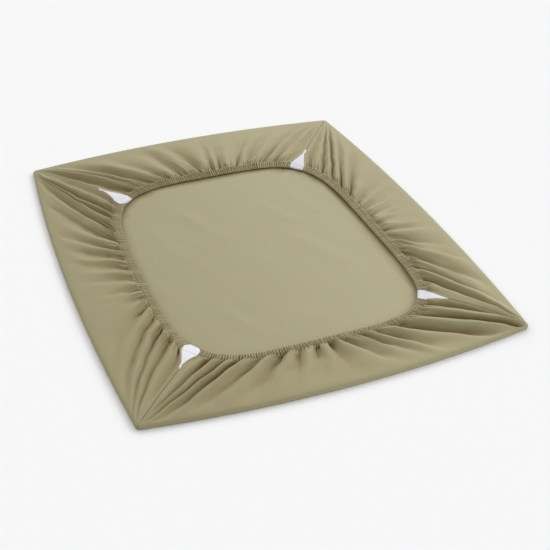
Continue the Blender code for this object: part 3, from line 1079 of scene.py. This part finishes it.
class Side:
    """One side of the side cloth: columns of points along it, and rows from the hem to the outline."""

    def __init__(self, name, settings):
        self.form = SIDES[name]
        self.first = next(corner for corner in CORNERS.values() if corner.after == name)
        self.last = next(corner for corner in CORNERS.values() if corner.before == name)
        self.fold_depth = settings.fold_depth * self.form.fold_share
        self.ruffle_height = settings.ruffle_height * self.form.ruffle_size
        self.set_lines()
        self.set_columns()
        seed = SEED + len(self.lines)
        self.creases = spread(CREASES, self.arc[-1], seed + self.form.columns)
        self.swells = spread(SWELLS, self.arc[-1], seed + 3 * self.form.columns)

    def set_lines(self):
        """The side's ridges and troughs, with the corner seams as the first and last."""
        way, end = sum(self.form.run), self.form.half_length
        lines = [(way * hem, way * edge, *rest) for hem, edge, *rest in self.form.lines]
        lines.insert(0, (way * self.first.after_stop, -end, *self.first.seam_heights, 1.0))
        lines.append((way * self.last.before_stop, end, *self.last.seam_heights, 1.0))
        self.lines = np.array(lines)

    def set_columns(self):
        """Places evenly spaced along the hem, and how the end columns are drawn to gussets and seams."""
        dense = np.linspace(self.lines[0, 0], self.lines[-1, 0], HEM_PLACES)
        length = lengths_along(mouth(self.form, dense)[0])
        self.arc = np.linspace(0, length[-1], self.form.columns * COLUMN_STEPS[-1] + 1)
        self.hem = np.interp(self.arc, length, dense)
        edge = np.interp(self.hem, self.lines[:, 0], self.lines[:, 1])
        self.hem_points, self.normals = mouth(self.form, self.hem)
        self.seam_points = self.hem_points + HEM_WIDTH * self.normals
        self.edge_points, self.outward = outline(self.form, edge)
        self.out = self.edge_points - self.seam_points
        self.width = np.linalg.norm(self.out, axis=1)
        heads = ((0, self.first, self.first.after_head), (-1, self.last, self.last.before_head))
        self.ends = []
        for index, corner, head in heads:
            nearness = np.clip(1 - np.abs(self.hem - self.hem[index]) / SEAM_PULL_WIDTH, 0, 1) ** 2
            self.ends.append((nearness[:, None], index, GussetSide(corner, head)))

    def free(self, width):
        """0 at the side's ends and 1 elsewhere."""
        return rise(from_ends(self.arc), 0, width)

    def drawn(self, points, targets):
        """A row of plan points, with its two ends drawn to these targets."""
        moved = points
        for (nearness, index, _), target in zip(self.ends, targets):
            moved = moved + nearness * (target - points[index])
        return moved

    def plan(self, share):
        """Plan points of a row of the side cloth, whose lines bend outwards in the middle."""
        push = np.array(self.form.face) * self.form.push
        points = self.seam_points + self.out * share + push * 4 * share * (1 - share)
        seams = [gusset.seam(share, self.edge_points[index]) for _, index, gusset in self.ends]
        return self.drawn(points, seams)

    def hem_plan(self, share):
        """Plan points of a row of the hem, from its free edge at 0 to its seam at 1."""
        points = self.hem_points + (self.seam_points - self.hem_points) * share
        return self.drawn(points, [gusset.hem(share) for _, _, gusset in self.ends])

    def line_heights(self, share):
        """How far each ridge and trough lies over the plain cloth, at a share of the way out."""
        near, half, reach = self.lines[:, 2] * MM, self.lines[:, 3] * MM, self.lines[:, 4]
        middle = FULL_SHARE + (reach - FULL_SHARE) * HALF_WAY
        near_extra = near - np.interp(FULL_SHARE, TABLE_SHARES, TABLE_HEIGHTS)
        half_extra = half - np.interp(middle, TABLE_SHARES, TABLE_HEIGHTS)
        extra = near_extra + (half_extra - near_extra) * rise(share, FULL_SHARE, middle)
        rising = HEM_FOLD_SHARE + (1 - HEM_FOLD_SHARE) * rise(share, 0, NEAR_SHARE)
        fading = (1 - rise(share, middle, reach)) * (1 - rise(share, HELD_SHARE, 1))
        return rising * extra * fading * self.fold_depth

    def fold(self, share):
        """Heights of the main folds along a row: round crests, sharper valleys, and one side steeper."""
        heights = self.line_heights(share)
        index = np.clip(np.searchsorted(self.lines[:, 0], self.hem, "right") - 1, 0, len(heights) - 2)
        start, end = self.lines[index, 0], self.lines[index + 1, 0]
        part = (self.hem - start) / (end - start)
        low, high = heights[index], heights[index + 1]
        from_ridge = np.where(low >= high, part, 1 - part)
        from_ridge = np.clip(from_ridge / (1 - STEEP_SHARE * self.steepness(low >= high)), 0, 1)
        soft = (1 - np.cos(np.pi * from_ridge)) / 2
        sharp = 1 - np.cos(np.pi / 2 * from_ridge)
        top, bottom = np.maximum(low, high), np.minimum(low, high)
        return top + (bottom - top) * (VALLEY_SHARPNESS * sharp + (1 - VALLEY_SHARPNESS) * soft)

    def steepness(self, ridge_first):
        """0 to 1: how squarely each fold's side faces the way in which the folds lean."""
        ahead = np.column_stack([-self.out[:, 1], self.out[:, 0]]) / self.width[:, None]
        return rise(np.where(ridge_first, 1, -1) * (ahead @ np.array(STEEP_WAY)), 0, 1)

    def ruffle(self, turn):
        """The hem's ruffles as an uneven wave along the side, of about -1 to 1, with narrow valleys."""
        shift = wavering(self.arc, (*RUFFLE_SHIFT, SEED + self.form.columns))
        phase = 2 * np.pi * (self.arc / self.form.ruffle_pitch + turn) + shift
        pleat = 1 - 2 * ((1 - np.sin(phase)) / 2) ** RUFFLE_SHARPNESS
        paired = RUFFLE_PAIRING * np.sin(phase / 2 + wavering(self.arc, RUFFLE_PAIR_SHIFT))
        return pleat * (1 + wavering(self.arc, RUFFLE_VARIATION)) + paired

    def small_folds(self, share):
        """Heights of the short creases, which die away at different lengths, and of the soft swells."""
        total = np.zeros_like(self.arc)
        for place, width, height, reach, drift in self.creases:
            offset = np.abs(self.arc - place - drift * CREASES.pitch * share / reach) / width
            total += height * (1 - rise(share, 0, reach)) * np.exp(-(offset**CREASE_POINT))
        total = total * rise(share, 0, CREASE_START)
        for place, width, height, first, last in self.swells:
            grown = rise(share, first, first + SWELL_RISE) * (1 - rise(share, last - SWELL_FALL, last))
            total += height * grown * bell((self.arc - place) / width)
        return total

    def height(self, share, plan):
        """Heights of a row of the side cloth."""
        plain = np.interp(share, PLAIN_SHARES, PLAIN_HEIGHTS)
        gathers = self.ruffle(RUFFLE_TURN) * self.ruffle_height * np.exp(-share / RUFFLE_REACH)
        fine = (self.small_folds(share) + gathers) * self.free(GATHER_END)
        seam = bell(from_ends(lengths_along(plan)) / SEAM_GROOVE_WIDTH)
        lift = GUSSET_LIP if share < TIP_SHARE else -SEAM_GROOVE
        broad = (ripples(plan, SKIRT_WAVES) + lift * seam) * (1 - rise(share, HELD_SHARE, 1))
        return softened(plain + self.fold(share) + fine + broad)

    def wander(self, plan, share):
        """Sideways unevenness that keeps the folds from running dead straight."""
        amount = rise(share, 0, WANDER_SPAN) * rise(1 - share, 0, WANDER_SPAN) * self.free(WANDER_END)
        return np.column_stack([ripple(plan, wave) for wave in WANDER_WAVES]) * amount[:, None]

    def skirt_row(self, share):
        """A row of the side cloth: its points, and how far each lies across the cloth."""
        plan = self.plan(share)
        points = np.column_stack([plan + self.wander(plan, share), self.height(share, plan)])
        return points, HEM_WIDTH + share * self.width

    def hem_rows(self):
        """Rows of the hem from its lower side round its free edge and over its top to its seam."""
        seam = self.height(0.0, self.plan(0.0))
        edge = HEM_EDGE_HEIGHT + self.normals @ np.array(HEM_TILT) + wavering(self.arc, HEM_WAVE)
        size = self.ruffle_height * self.free(HEM_END)
        rows = []
        for share in HEM_UNDER_SHARES:
            under = edge + (seam - edge) * share - 2 * HEM_ROLL
            level = under + RUFFLE_UNDER * size * self.ruffle(0.0)
            rows.append((np.column_stack([self.hem_plan(share), level]), -HEM_WIDTH * share - 2 * HEM_ROLL))
        overhang = HEM_OVERHANG + RUFFLE_OUT * size * self.ruffle(0.0)
        lip = self.hem_points - self.normals * overhang[:, None]
        rows.append((np.column_stack([lip, edge - HEM_ROLL]), -HEM_ROLL))
        for share in HEM_TOP_SHARES:
            held = bell((share - HEM_MIDDLE) / HEM_DENT) + bell((share - 1.0) / HEM_DENT)
            level = edge + (seam - edge) * share + HEM_PUFF * (1 - held)
            wave = self.ruffle(RUFFLE_TURN * share) * size * (RUFFLE_TOP - RUFFLE_HELD * held)
            rows.append((np.column_stack([self.hem_plan(share), level + wave]), HEM_WIDTH * share))
        return rows

    def fold_rows(self):
        """Rows of the soft fold at the outline, down to the base panel."""
        pucker = ripple(self.edge_points, FOLD_WAVE) * self.free(FOLD_END)
        across = HEM_WIDTH + self.width
        rows = []
        last = (0.0, FOLD_HEIGHT)
        for out, height in FOLD_PROFILE:
            across = across + np.hypot(out - last[0], height - last[1])
            last = (out, height)
            reach = out + pucker * (height / FOLD_HEIGHT)
            plan = self.edge_points + self.outward * reach[:, None]
            rows.append((np.column_stack([plan, np.full(len(plan), height)]), across))
        return rows

    def rows(self):
        """All rows: points, cloth places, and fold places: from the nearest corner seam, and how much
        painted shade.
        """
        groups = (
            self.hem_rows() + [self.skirt_row(share) for share in FINE_ROWS],
            [self.skirt_row(share) for share in MIDDLE_ROWS],
            [self.skirt_row(share) for share in OUTER_ROWS] + self.fold_rows()[:-1],
            self.fold_rows()[-1:],
        )
        stepped = [(row, step) for rows, step in zip(groups, COLUMN_STEPS) for row in rows]
        made = []
        for (points, across), step in stepped:
            along = lengths_along(points[:, :2])
            across = across + np.zeros(len(points))
            # The share of painted shade: from the hollows, less in the hem, and all of it on the hem's
            # underside.
            deep = hollows(points[:, 2], self.arc[1]) * np.where(across < HEM_WIDTH, HEM_PAINTED_SHADE, 1.0)
            deep = np.where(across < UNDERSIDE_START, 1.0, deep)
            cloth = np.column_stack([along - along[-1] / 2, across])
            folds = np.column_stack([from_ends(along), deep])
            made.append((points[::step], cloth[::step], folds[::step]))
        return made

    def lip(self, index):
        """The rows of points at one end of the side, from under the hem to the gusset's tip."""
        points = [(row[index], across) for row, across in self.hem_rows()]
        gusset = self.ends[index][2]
        length = np.linalg.norm(gusset.tip - gusset.middle) - HEM_WIDTH
        for share in GUSSET_SHARES:
            row, _ = self.skirt_row(share)
            points.append((row[index], HEM_WIDTH + share / TIP_SHARE * length))
        return points


def strip_faces(first, upper, second, lower):
    """Faces between two rows of points, where the lower row has as many points or every other one."""
    if upper == lower:
        return [(first + i, second + i, second + i + 1, first + i + 1) for i in range(upper - 1)]
    return [
        (first + 2 * i, second + i, second + i + 1, first + 2 * i + 2, first + 2 * i + 1)
        for i in range(lower - 1)
    ]


def grid_faces(first, rows, columns):
    """Four-sided faces of a grid whose points are numbered row by row from first."""
    return [
        (a, a + columns, a + columns + 1, a + 1)
        for r in range(rows - 1)
        for a in range(first + r * columns, first + (r + 1) * columns - 1)
    ]


def panel_crease(points):
    """Heights of the base panel's soft creases over plan points."""
    total = np.zeros(points.shape[:-1])
    for x0, y0, x1, y1, width, height in PANEL_CREASES:
        start = np.array([x0, y0])
        length = np.hypot(x1 - x0, y1 - y0)
        way = (np.array([x1, y1]) - start) / length
        along = (points - start) @ way / length
        sway = PANEL_CREASE_SWAY * np.sin(PANEL_CREASE_TURNS * along)
        offset = ((points - start) @ np.array([-way[1], way[0]]) + sway) / width
        shape = bell(offset) - PANEL_CREASE_TROUGH * bell(offset - 1)
        total += height * shape * rise(along, 0, PANEL_CREASE_END) * rise(1 - along, 0, PANEL_CREASE_END)
    return total


def panel_grid(sides):
    """Points of the base panel: a grid between the four rows at the bottom of the fold."""
    front, right, back, left = (sides[name].fold_rows()[-1][0][:: COLUMN_STEPS[-1]] for name in SIDES)
    back, left = back[::-1], left[::-1]
    u = np.linspace(0, 1, len(front))[None, :, None]
    v = np.linspace(0, 1, len(right))[:, None, None]
    ruled = (1 - v) * front[None] + v * back[None] + (1 - u) * left[:, None] + u * right[:, None]
    corners = (1 - v) * ((1 - u) * front[0] + u * front[-1]) + v * ((1 - u) * back[0] + u * back[-1])
    grid = ruled - corners
    plan = grid[..., :2]
    inside = rise(np.minimum(np.minimum(u, 1 - u), np.minimum(v, 1 - v))[..., 0], 0, PANEL_EDGE)
    relief = PANEL_RISE + PANEL_CREASE_SHARE * panel_crease(plan) + ripples(plan, PANEL_WAVES)
    grid[..., 2] = PANEL_HEIGHT + np.maximum(relief, PANEL_LEAST_RISE) * inside
    return grid


def add_object(name, data):
    """A new object in the scene."""
    made = bpy.data.objects.new(name, data)
    bpy.context.scene.collection.objects.link(made)
    return made


def make_mesh(name, points, faces, maps, material):
    """A smooth mesh whose points at one place are made one, with its places on the cloth as UV maps."""
    keys = np.round(points, POINT_DECIMALS)
    _, kept, index = np.unique(keys, axis=0, return_index=True, return_inverse=True)
    index = index.reshape(-1).tolist()
    joined, origins = [], []
    for face in faces:
        corners = {}
        for point in face:
            corners.setdefault(index[point], point)
        if len(corners) > 2:
            joined.append(tuple(corners))
            origins.extend(corners.values())
    mesh = bpy.data.meshes.new(name)
    mesh.from_pydata(points[kept].tolist(), [], joined)
    for layer, places in maps.items():
        made = mesh.uv_layers.new(name=layer)
        made.data.foreach_set("uv", places[origins].astype(np.float32).ravel())
    mesh.materials.append(material)
    mesh.shade_smooth()
    piece = add_object(name, mesh)
    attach(piece, "root")
    return piece


def make_cloth(settings):
    """The cloth: hem, side cloth, fold and base panel in one surface."""
    sides = {name: Side(name, settings) for name in SIDES}
    points, cloth, folds, faces = [], [], [], []
    total = 0
    for side in sides.values():
        upper = None
        for row, cloth_row, fold_row in side.rows():
            points.append(row)
            cloth.append(cloth_row)
            folds.append(fold_row)
            if upper is not None:
                faces += strip_faces(total - upper, upper, total, len(row))
            upper = len(row)
            total += upper
    grid = panel_grid(sides)
    flat = grid.reshape(-1, 3)
    points.append(flat)
    cloth.append(flat[:, :2] + (0.0, PANEL_PLACE))
    # The base panel's painted shade is the painted shadow beside the hem.
    folds.append(np.column_stack([np.ones(len(flat)), painted_hem_shadow(flat[:, :2])]))
    faces += grid_faces(total, *grid.shape[:2])
    maps = {"cloth": np.concatenate(cloth), "folds": np.concatenate(folds)}
    return make_mesh("cloth", np.concatenate(points), faces, maps, cotton(settings))


def make_gusset(corner, settings, material):
    """A white stretch gusset, with its sides tucked under the cloth beside it."""
    form = CORNERS[corner]
    left, right = Side(form.before, settings).lip(-1), Side(form.after, settings).lip(0)
    shares = np.linspace(0, 1, GUSSET_COLUMNS + 1)
    crown = np.sin(np.pi * shares) ** GUSSET_FULLNESS
    shift = GUSSET_GATHER_SHIFT * np.sin(GUSSET_GATHER_TURN * shares + len(corner))
    gathers = GUSSET_GATHER_HEIGHT * np.sin(2 * np.pi * GUSSET_GATHERS * shares + shift)
    points, places = [], []
    for (one, across), (other, _) in zip(left, right):
        gap = other - one
        width = np.linalg.norm(gap[:2])
        # Where the sides meet at the tip, a row keeps the way of the one before it.
        if width > GUSSET_TUCK:
            way = gap / width
        head = -HEM_ROLL <= across < HEM_WIDTH
        tuck, drop = (HEAD_TUCK, -HEAD_LIFT) if head else (GUSSET_TUCK, GUSSET_DROP)
        start, end = one - way * tuck, other + way * tuck
        row = start + (end - start) * shares[:, None]
        wide = min(width / GUSSET_WIDE, 1.0)
        gathered = gathers * wide * np.exp(-max(across, 0.0) / GUSSET_GATHER_REACH)
        row[:, 2] += -drop + (drop + GUSSET_CROWN * wide + gathered) * crown
        points.append(row)
        along = (shares - 0.5) * (width + 2 * GUSSET_TUCK)
        places.append(np.column_stack([along, np.full(len(row), across)]))
    faces = grid_faces(0, len(points), len(shares))
    maps = {"cloth": np.concatenate(places)}
    piece = make_mesh("stretch_" + corner, np.concatenate(points), faces, maps, material)
    left_head, right_head = left[HEAD_ROW][0][:2], right[HEAD_ROW][0][:2]
    head = np.linalg.norm(right_head - left_head)
    length = np.linalg.norm(np.array(form.tip) - (right_head + left_head) / 2)
    flat = (head + 2 * SEAM_ALLOWANCE, length + HEM_WIDTH / 2 + SEAM_ALLOWANCE)
    area = GUSSET_AREA_SHARE * flat[0] * flat[1]
    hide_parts("gusset_" + corner)
    return piece


def make_floor(settings):
    """The floor."""
    half = FLOOR_WIDTH / 2
    corners = [(-half, -half, 0), (half, -half, 0), (half, half, 0), (-half, half, 0)]
    mesh = bpy.data.meshes.new("floor")
    mesh.from_pydata(corners, [], [(0, 1, 2, 3)])
    mesh.materials.append(plain_floor(settings))
    add_object("floor", mesh)


def make_ring(settings):
    """The ring of low soft lights, which is brighter on one side."""
    level, height = np.cos(settings.ring_height), np.sin(settings.ring_height)
    for turn in np.arange(RING_COUNT) * 2 * np.pi / RING_COUNT:
        lamp = bpy.data.lights.new("ring_light", "SUN")
        lamp.energy = settings.ring_strength * (1 + settings.ring_lean * np.cos(turn - BRIGHT_SIDE))
        lamp.angle = settings.ring_softness
        lamp.color = RING_COLOUR
        towards = Vector((np.cos(turn) * level, np.sin(turn) * level, height))
        add_object("ring_light", lamp).rotation_euler = towards.to_track_quat("Z", "Y").to_euler()


def make_fill(settings):
    """The even light from all round."""
    world = bpy.data.worlds.new("studio")
    world.use_nodes = True
    sky = world.node_tree.nodes["Background"]
    sky.inputs["Color"].default_value = FILL_COLOUR
    sky.inputs["Strength"].default_value = settings.fill_strength
    bpy.context.scene.world = world


def make_camera():
    """The camera, where the photograph was taken from."""
    lens = bpy.data.cameras.new("camera")
    lens.lens = CAMERA_LENS
    lens.sensor_width = CAMERA_SENSOR
    camera = add_object("camera", lens)
    camera.location = CAMERA_PLACE
    camera.rotation_euler = np.radians(CAMERA_TURN)
    bpy.context.scene.camera = camera


class SHEET_OT_cloth(bpy.types.Operator):
    """Build the green cloth with its gathered hem, its folds and its base panel"""

    bl_idname = "sheet.cloth"
    bl_label = "Cloth"

    def execute(self, context):
        piece = make_cloth(context.scene.fitted_sheet)
        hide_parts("sheet")
        return {"FINISHED"}


class SHEET_OT_gussets(bpy.types.Operator):
    """Build the white stretch gussets at the ends of the corner seams"""

    bl_idname = "sheet.gussets"
    bl_label = "Gussets"

    def execute(self, context):
        settings = context.scene.fitted_sheet
        material = stretch_knit(settings)
        for corner in CORNERS:
            make_gusset(corner, settings, material)
        return {"FINISHED"}


class SHEET_OT_stage(bpy.types.Operator):
    """Build the floor, the soft studio light and the camera"""

    bl_idname = "sheet.stage"
    bl_label = "Stage"

    def execute(self, context):
        settings = context.scene.sheet_stage
        make_floor(settings)
        make_ring(settings)
        make_fill(settings)
        make_camera()
        context.scene.view_settings.view_transform = "Standard"
        return {"FINISHED"}


class SHEET_PT_panel(bpy.types.Panel):
    """The fitted sheet's settings and steps"""

    bl_label = "Fitted Sheet"
    bl_space_type = "VIEW_3D"
    bl_region_type = "UI"
    bl_category = "Fitted Sheet"

    def draw(self, context):
        for group in (context.scene.fitted_sheet, context.scene.sheet_stage):
            for name in group.bl_rna.properties.keys():
                if name not in ("rna_type", "name"):
                    self.layout.prop(group, name)
        for operator in OPERATORS:
            self.layout.operator(operator.bl_idname)


OPERATORS = (SHEET_OT_cloth, SHEET_OT_gussets, SHEET_OT_stage)
CLASSES = (SheetSettings, StageSettings, *OPERATORS, SHEET_PT_panel)


def register():
    """Adds the classes and the settings."""
    for each in CLASSES:
        bpy.utils.register_class(each)
    bpy.types.Scene.fitted_sheet = PointerProperty(type=SheetSettings)
    bpy.types.Scene.sheet_stage = PointerProperty(type=StageSettings)


def unregister():
    """Takes the settings and the classes away."""
    del bpy.types.Scene.sheet_stage
    del bpy.types.Scene.fitted_sheet
    for each in reversed(CLASSES):
        bpy.utils.unregister_class(each)


def main():
    """Builds the sheet and its stage."""
    register()
    bpy.ops.sheet.cloth()
    bpy.ops.sheet.gussets()
    bpy.ops.sheet.stage()


if __name__ == "__main__":
    main()
